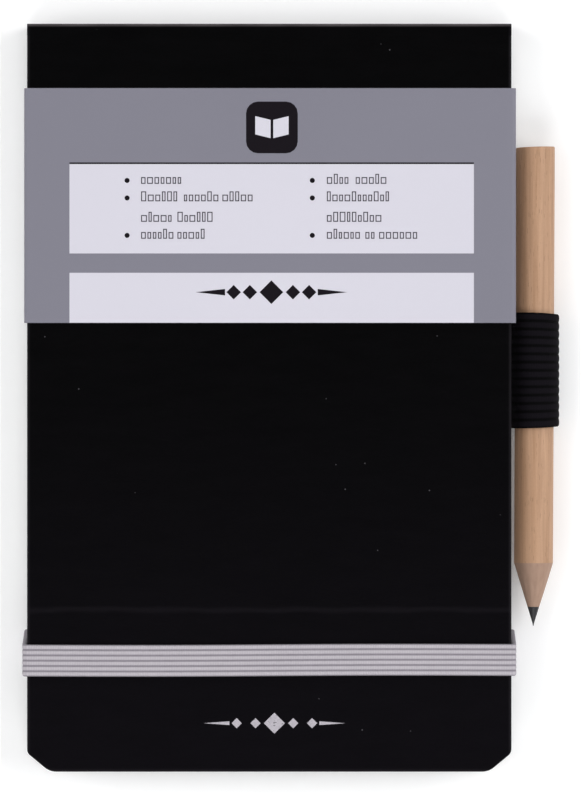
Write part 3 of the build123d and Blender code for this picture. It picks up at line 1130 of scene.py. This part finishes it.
def build_pencil():
    """Two wooden slats round a lead, sharpened to a point and cut flat at the head."""
    tip, direction, side, length, lead_radius = along_pencil()
    up = Vector((0, 0, 1))

    def spot(radius, angle, distance):
        at_head = max(0.0, distance / length) ** HEAD_TILT_POWER
        lean = HEAD_TILT * radius * math.cos(angle) * at_head
        return tip + direction * (distance + lean) + (
            side * math.cos(angle) + up * math.sin(angle)) * radius

    bare = POINT_LENGTH * lead_radius / PENCIL_RADIUS
    stations = [(bare + 0.02, lead_radius + 0.006)]
    for step in range(1, CONE_STEPS + 1):
        stations.append((
            bare + (POINT_LENGTH - bare) * step / CONE_STEPS,
            lead_radius + (PENCIL_RADIUS - lead_radius) * step / CONE_STEPS))
    stations += [
        (POINT_LENGTH + 0.12, PENCIL_RADIUS), (length / 3, PENCIL_RADIUS),
        (length * 2 / 3, PENCIL_RADIUS)]
    stations += [(length - back, PENCIL_RADIUS - inset) for back, inset in HEAD_ROUND]
    for name, start, node in (
            ("upper_wood_slat", 0.0, "pencil_upper_slat"),
            ("lower_wood_slat", math.pi, "pencil_lower_slat")):
        angles = [
            start + math.pi * step / SLAT_ARC_STEPS for step in range(SLAT_ARC_STEPS + 1)]
        points = []
        for place, radius in stations:
            knife = 0.0
            if place < POINT_LENGTH:
                knife = KNIFE_MARK * math.sin(math.pi * (place - bare) / (POINT_LENGTH - bare))
            points += [
                spot(radius + knife * math.sin(KNIFE_FACETS * angle), angle, place)
                for angle in angles]
            points += [spot(lead_radius, angle, place) for angle in reversed(angles)]
        slat = make_piece(
            name, points, tube_faces(len(stations), 2 * len(angles)), WOOD,
            smooth_under=PENCIL_SMOOTH_UNDER)
        settle(slat, "pencil", "pencil_wood", node)

    core = list(LEAD_TIP)
    for step in range(LEAD_CONE_STEPS + 1):
        place = LEAD_CONE_START + (bare - LEAD_CONE_START) * step / LEAD_CONE_STEPS
        core.append((place, lead_radius * place / bare))
    core += [(length - 0.05, lead_radius), (length, lead_radius)]
    points = []
    for place, radius in core:
        points += [
            spot(radius, 2 * math.pi * step / LEAD_STEPS, place) for step in range(LEAD_STEPS)]
    lead = make_piece(
        "graphite_core", points, tube_faces(len(core), LEAD_STEPS), GRAPHITE,
        smooth_under=PENCIL_SMOOTH_UNDER)
    settle(lead, "pencil", "graphite", "pencil_lead")


# ---- sleeve
SLEEVE_THICKNESS = 0.25
SLEEVE_FOLD = 0.75
SLEEVE_FOLD_STEPS = 8
SEAM_X = -4.0             # where the card's two ends meet behind the cover
SEAM_GAP = 0.3
LAP = 6.0                 # half the width of the strip glued over them
LAP_INSET = 0.6
LAP_OUTSIDE = 0.14
LAP_INSIDE = 0.01
LAP_BEVEL = 0.02


def build_sleeve():
    """Card folded round the front cover, its ends joined by a glued strip under the cover."""
    half = SLEEVE_THICKNESS / 2
    left, right = SLEEVE_LOW.x + half, SLEEVE_HIGH.x - half
    low, high = SLEEVE_LOW.z + half, SLEEVE_HIGH.z - half
    path = rounded(
        [Vector((SEAM_X, low)), Vector((left, low)), Vector((left, high)),
         Vector((right, high)), Vector((right, low)), Vector((SEAM_X + SEAM_GAP, low))],
        (SLEEVE_FOLD,) * 4, SLEEVE_FOLD_STEPS)
    points = []
    y0, y1 = SLEEVE_LOW.y, SLEEVE_HIGH.y
    for inner, outer in sides(path, half, half):
        points += [(outer.x, y0, outer.y), (outer.x, y1, outer.y),
                   (inner.x, y1, inner.y), (inner.x, y0, inner.y)]
    card = make_piece("folded_card", points, tube_faces(len(path), 4), SLEEVE_CARD)
    strip = plate(
        "glued_lap", (SEAM_X - LAP, y0 + LAP_INSET, SLEEVE_LOW.z - LAP_OUTSIDE),
        (SEAM_X + LAP, y1 - LAP_INSET, SLEEVE_LOW.z + LAP_INSIDE), LAP_BEVEL, SLEEVE_CARD)
    sleeve = joined("printed_card_sleeve", [card, strip])
    settle(sleeve, "paper_sleeve", "sleeve_card", "paper_sleeve")


# ---- print
PRINT = 0.012             # thickness of a print layer
PANEL_LEFT = -37.1
PANEL_RIGHT = 38.0
TEXT_PANEL = (26.8, 43.5)
TITLE_PANEL_TOP = 23.2
PANEL_RULE = (-0.1, 0.2)  # dark line along the text panel's top, from and to

LETTER_HEIGHT = 1.25
TALL_LETTER = 1.85
TALL_CHANCE = 0.3
LETTER_WIDTHS = (0.6, 1.1)
LEAST_LETTER = 0.35
STROKE = 0.19
LETTER_GAP = 0.3
WORD_GAP = 0.75
BULLET = 0.95
ROWS = (40.35, 37.1, 33.3, 30.15)
BULLETED_ROWS = (0, 1, 3)
# x of the bullets, x of the text, and the widths of the words in each row
LEFT_COLUMN = (-26.4, -23.8, ((7.6,), (7.2, 6.4, 5.6), (6.0, 6.6), (6.0, 5.6)))
RIGHT_COLUMN = (8.0, 10.7, ((4.6, 6.2), (11.9,), (10.6,), (6.4, 1.8, 7.2)))

ORNAMENT_CENTRE = (0.4, 19.6)
LOZENGE = 4.4
SMALL_LOZENGE = 2.7
SMALL_LOZENGE_PLACES = (4.0, 7.0)
SPEAR = (8.6, 14.1, 0.6)  # from and to, out from the centre, and half its height

BADGE_CENTRE = (0.5, 50.2)
BADGE_SIZE = 9.6
BADGE_CORNER = 2.2
# Right-hand page of the open book on the badge, from the badge's centre
BOOK_PAGE = ((0.25, -2.0), (3.1, -1.3), (3.1, 2.1), (0.25, 1.4))


def flat_shape(name, shapes, low_z, material, frames=()):
    """Print: closed flat prisms from outlines, and hollow ones from pairs of outlines."""
    points, faces = [], []
    high_z = low_z + PRINT

    def add(rings, closed):
        first, size = len(points), len(rings[0][0])
        for shape, height in rings:
            points.extend((x, y, height) for x, y in shape)
        for face in tube_faces(len(rings), size, closed):
            faces.append(tuple(first + place for place in face))

    for outer, inner in frames:
        add([(outer, low_z), (outer, high_z), (inner, high_z), (inner, low_z)], True)
    for shape in shapes:
        add([(shape, low_z), (shape, high_z)], False)
    return make_piece(name, points, faces, material)


def oblong(x0, x1, y0, y1, radius=0.0):
    """A rectangle's outline, with rounded corners where a radius is given."""
    if not radius:
        return [(x0, y0), (x1, y0), (x1, y1), (x0, y1)]
    shape = []
    for x, y, start in (
            (x1 - radius, y1 - radius, 0), (x0 + radius, y1 - radius, 90),
            (x0 + radius, y0 + radius, 180), (x1 - radius, y0 + radius, 270)):
        shape += [tuple(point) for point in arc(Vector((x, y)), radius, start, start + 90, 4)]
    return shape


def disc(x, y, radius):
    """A circle's outline, in 24 points."""
    return [tuple(point) for point in arc(Vector((x, y)), radius, 0, 345, 23)]


def lozenge(x, y, size):
    half = size / 2
    return [(x - half, y), (x, y - half), (x + half, y), (x, y + half)]


def word_marks(x, y, widths, chance):
    """Narrow bars, and pairs of outlines for hollow boxes, that stand for a line's letters."""
    bars, frames = [], []
    low = y - LETTER_HEIGHT / 2
    for width in widths:
        end = x + width
        while x < end - LEAST_LETTER:
            letter = min(chance.uniform(*LETTER_WIDTHS), end - x)
            high = low + (TALL_LETTER if chance.random() < TALL_CHANCE else LETTER_HEIGHT)
            if letter > 3 * STROKE:
                frames.append((
                    oblong(x, x + letter, low, high),
                    oblong(x + STROKE, x + letter - STROKE, low + STROKE, high - STROKE)))
            else:
                bars.append(oblong(x, x + STROKE, low, high))
            x += letter + LETTER_GAP
        x = end + WORD_GAP
    return bars, frames


def build_print():
    """White panels, bullets, marks for text, an ornament and a badge, printed on the sleeve."""
    on_card = SLEEVE_HIGH.z
    on_panel = on_card + PRINT
    panels = [
        oblong(PANEL_LEFT, PANEL_RIGHT, *TEXT_PANEL),
        oblong(PANEL_LEFT, PANEL_RIGHT, SLEEVE_LOW.y + 0.02, TITLE_PANEL_TOP)]

    chance = random.Random(11)
    bars, frames, dark = [], [], []
    for bullet_x, text_x, rows in (LEFT_COLUMN, RIGHT_COLUMN):
        for row, (y, widths) in enumerate(zip(ROWS, rows)):
            line_bars, line_frames = word_marks(text_x, y, widths, chance)
            bars += line_bars
            frames += line_frames
            if row in BULLETED_ROWS:
                dark.append(disc(bullet_x, y, BULLET / 2))

    dark.append(oblong(PANEL_LEFT, PANEL_RIGHT, *[TEXT_PANEL[1] + edge for edge in PANEL_RULE]))
    x, y = ORNAMENT_CENTRE
    dark.append(lozenge(x, y, LOZENGE))
    near, far, half = SPEAR
    for side in (-1, 1):
        dark += [lozenge(x + side * place, y, SMALL_LOZENGE) for place in SMALL_LOZENGE_PLACES]
        dark.append([(x + side * near, y - half), (x + side * near, y + half), (x + side * far, y)])

    x, y = BADGE_CENTRE
    half = BADGE_SIZE / 2
    badge = oblong(x - half, x + half, y - half, y + half, BADGE_CORNER)
    book = [[(x + side * out, y + up) for out, up in BOOK_PAGE] for side in (-1, 1)]
    for layer in (
            flat_shape("sleeve_white_panels", panels, on_card, PANEL_PRINT),
            flat_shape("sleeve_text_marks", bars, on_panel, TEXT_PRINT, frames),
            flat_shape("sleeve_dark_print", dark, on_panel, DARK_PRINT),
            flat_shape("sleeve_badge", [badge], on_card, DARK_PRINT),
            flat_shape("sleeve_badge_book", book, on_panel, PANEL_PRINT)):
        settle(layer, "paper_sleeve", "sleeve_card")


# ---- foil
FOIL_PROUD = 0.015


def build_foil():
    """The ornament's foil, just proud of the cloth instead of at the bottom of its dent."""
    mesh = frame["nodes"]["cover_foil"].data.copy()
    mesh.name = "pressed_foil_ornament"
    raised = THICKNESS + FOIL_PROUD - span("cover_foil")[1].z
    mesh.transform(Matrix.Translation((0, 0, raised * MM)))
    mesh.materials.clear()
    foil = smoothed(linked("pressed_foil_ornament", mesh, FOIL))
    settle(foil, "front_cover", "silver_foil", "cover_foil")


# ---- CAD nodes that stay
def finish_cad_nodes():
    """Procedural materials on the CAD's own meshes."""
    finishes = {
        "back_board": BOARD, "front_board": BOARD, "spine_board": BOARD,
        "back_pastedown": ENDPAPER_STOCK, "front_pastedown": ENDPAPER_STOCK,
        "back_flyleaf": ENDPAPER_STOCK, "spine_mull": MULL, "spine_adhesive": GLUE,
        "sewing_thread": THREAD}
    for node, material in finishes.items():
        piece = frame["nodes"][node]
        piece.data.materials.clear()
        piece.data.materials.append(material)


# ---- studio
# The studio is in metres, apart from what the camera takes in.
FLOOR_SIDE = 3.0
FLOOR_GREY = (0.90, 0.90, 0.905)
FLOOR_WHITE = (0.92, 0.92, 0.92)
FLOOR_GLOW = 0.14
WORLD_COLOUR = (0.97, 0.98, 1.0, 1.0)
WORLD_LIGHT = 0.22
# Place, width and height, and power
SOFTBOXES = {
    "left_softbox": ((-0.85, 0.1, 0.75), (0.8, 1.1), 7.0),
    "right_softbox": ((0.85, 0.15, 0.75), (0.8, 1.1), 8.6),
    "front_softbox": ((0.0, -0.62, 0.72), (1.0, 0.45), 3.4),
    "spine_softbox": ((0.1, 1.0, 0.55), (1.1, 0.5), 3.2)}
CAMERA_HEIGHT = 1.3
VIEW_CENTRE = (4.04, -0.42)
VIEW_HEIGHT = 148.6
SENSOR = 36.0


def build_floor():
    """A pale floor that glows a little, under the notebook."""
    paint = Paint("studio_floor")
    tone = paint.noise(paint.place(), 3.0, 2.0)
    material = paint.finish(
        base_color=paint.mix(tone, FLOOR_GREY, FLOOR_WHITE), roughness=0.9,
        specular_ior_level=0.1, emission_color=(1.0, 1.0, 1.0), emission_strength=FLOOR_GLOW)
    half = FLOOR_SIDE / 2 / MM
    corners = [(x, y, 0) for x, y in oblong(-half, half, -half, half)]
    make_piece("studio_floor", corners, [(0, 1, 2, 3)], material)


def softbox(name, place, size, power):
    """A large square light that points at the notebook."""
    light = bpy.data.lights.new(name, "AREA")
    light.shape = "RECTANGLE"
    light.size, light.size_y = size
    light.energy = power
    made = bpy.data.objects.new(name, light)
    made.location = place
    made.rotation_euler = (-Vector(place)).to_track_quat("-Z", "Y").to_euler()
    bpy.context.scene.collection.objects.link(made)


def build_studio():
    """Floor, light from all round, four softboxes, and a camera straight above."""
    build_floor()
    world = bpy.data.worlds.new("studio")
    world.use_nodes = True
    background = world.node_tree.nodes["Background"]
    background.inputs["Color"].default_value = WORLD_COLOUR
    background.inputs["Strength"].default_value = WORLD_LIGHT
    bpy.context.scene.world = world
    for name, (place, size, power) in SOFTBOXES.items():
        softbox(name, place, size, power)
    camera = bpy.data.objects.new("camera", bpy.data.cameras.new("camera"))
    distance = CAMERA_HEIGHT - THICKNESS * MM
    camera.data.sensor_width = SENSOR
    camera.data.lens = SENSOR * distance / (VIEW_HEIGHT * MM)
    camera.location = (VIEW_CENTRE[0] * MM, VIEW_CENTRE[1] * MM, CAMERA_HEIGHT)
    bpy.context.scene.collection.objects.link(camera)
    bpy.context.scene.camera = camera
    bpy.context.scene.view_settings.view_transform = "Standard"


build_case()
build_endpaper_hinge()
build_leaves()
build_strap()
build_loop()
build_pencil()
build_sleeve()
build_print()
build_foil()
finish_cad_nodes()
build_studio()
